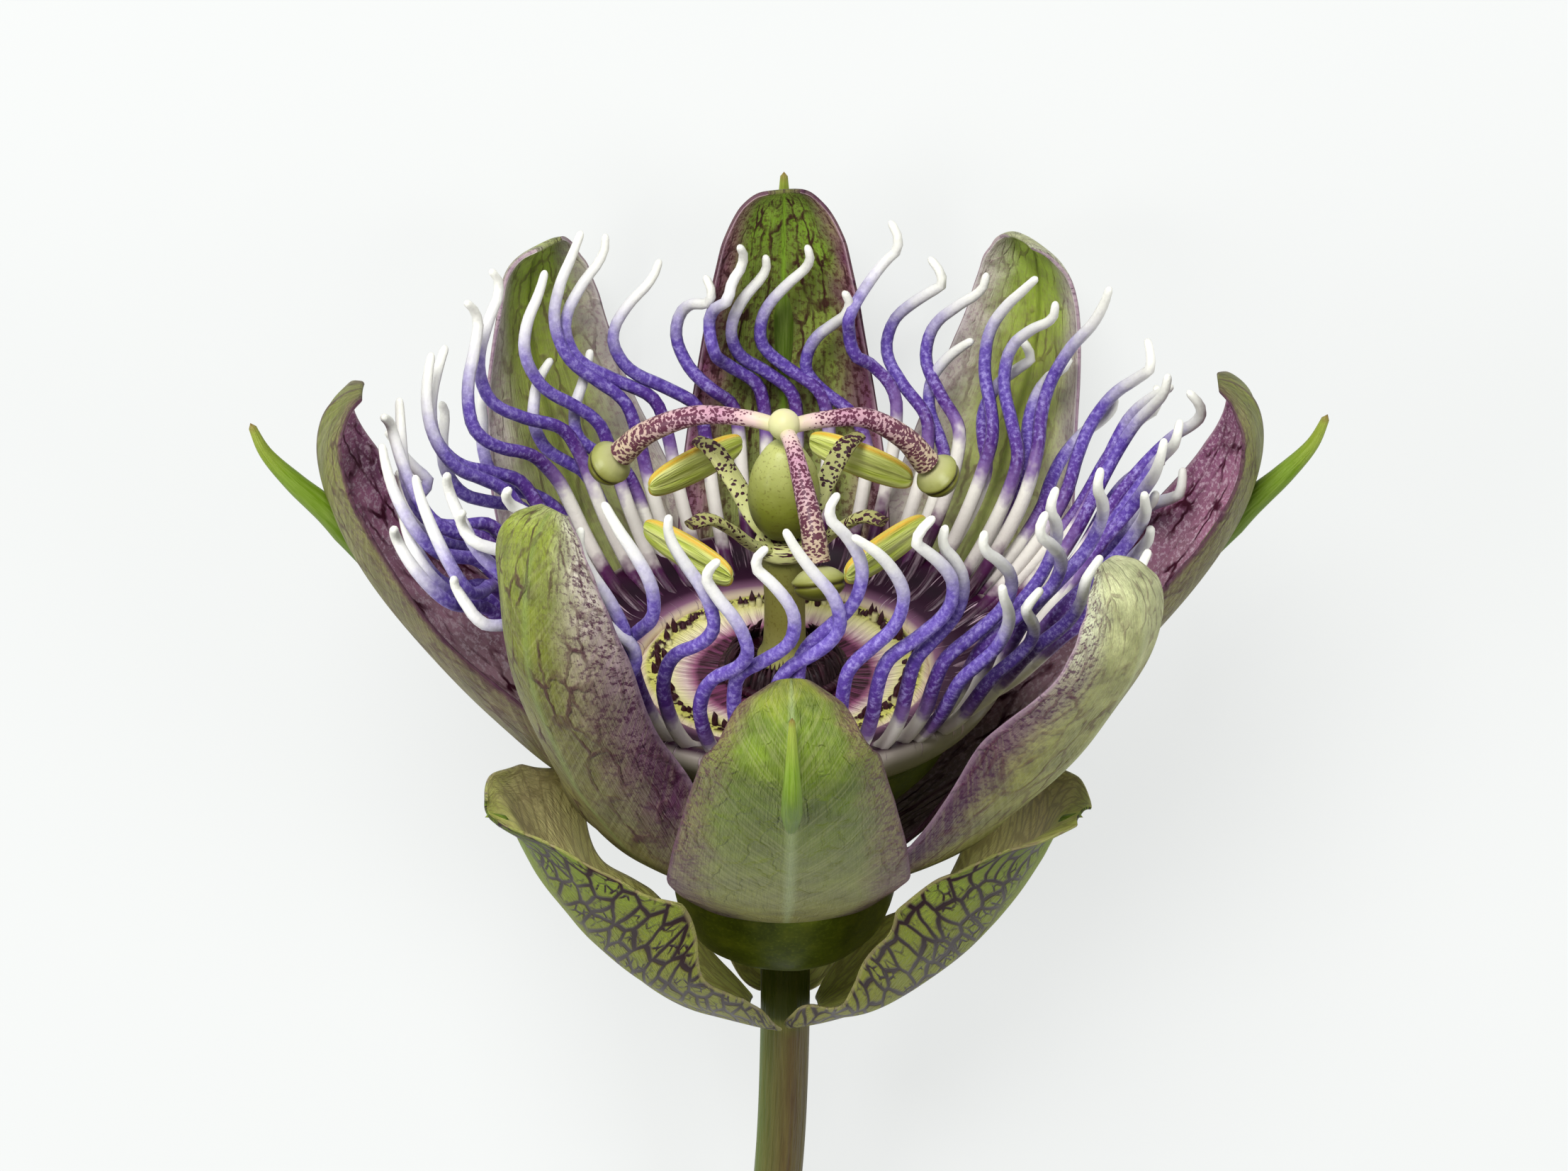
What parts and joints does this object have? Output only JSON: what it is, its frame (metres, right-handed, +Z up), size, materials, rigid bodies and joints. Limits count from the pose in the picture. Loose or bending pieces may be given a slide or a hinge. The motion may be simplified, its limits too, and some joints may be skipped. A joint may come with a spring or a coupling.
{
  "type": "passion flower",
  "caption": "Cut passion flower with a cup of hooded sepals and petals, wavy corona filaments, stamens, styles and bracts, lying on its side on a short stem.",
  "frame": {"origin": "the middle of the flower's bounding box, on the surface that it lies on", "axes": "+Z is up from that surface, +Y runs along the flower from the cut end of the stem to its mouth, and +X is across it"},
  "size_m": [0.0776, 0.1004, 0.0565],
  "materials": {
    "stem": "satin",
    "receptacle": "satin",
    "sepal": "satin",
    "petal": "satin",
    "bract": "satin",
    "corona": "satin",
    "corona_floor": "satin",
    "inner_corona": "satin",
    "ovary": "satin",
    "stamen": "satin",
    "style": "satin",
    "stigma": "satin",
    "anther": "satin"
  },
  "bodies": {
    "root": {"sepal_right": "sepal", "sepal_back": "sepal", "sepal_left": "sepal", "sepal_front": "sepal", "petal_back_right": "petal", "petal_back_left": "petal", "petal_front_left": "petal", "petal_front_right": "petal", "receptacle": "receptacle", "bract_left": "bract", "bract_right": "bract", "bract_back": "bract", "corona_floor": "corona_floor", "inner_corona": "inner_corona", "column": "ovary", "ovary": "ovary", "stamen_filaments": "stamen", "anther_back_right": "anther", "anther_back_left": "anther", "anther_front_left": "anther", "anther_front_right": "anther", "styles": "style", "stigma_left": "stigma", "stigma_right": "stigma", "stigma_front": "stigma", "corona_filaments": "corona", "stem": "stem"}
  },
  "joints": []
}
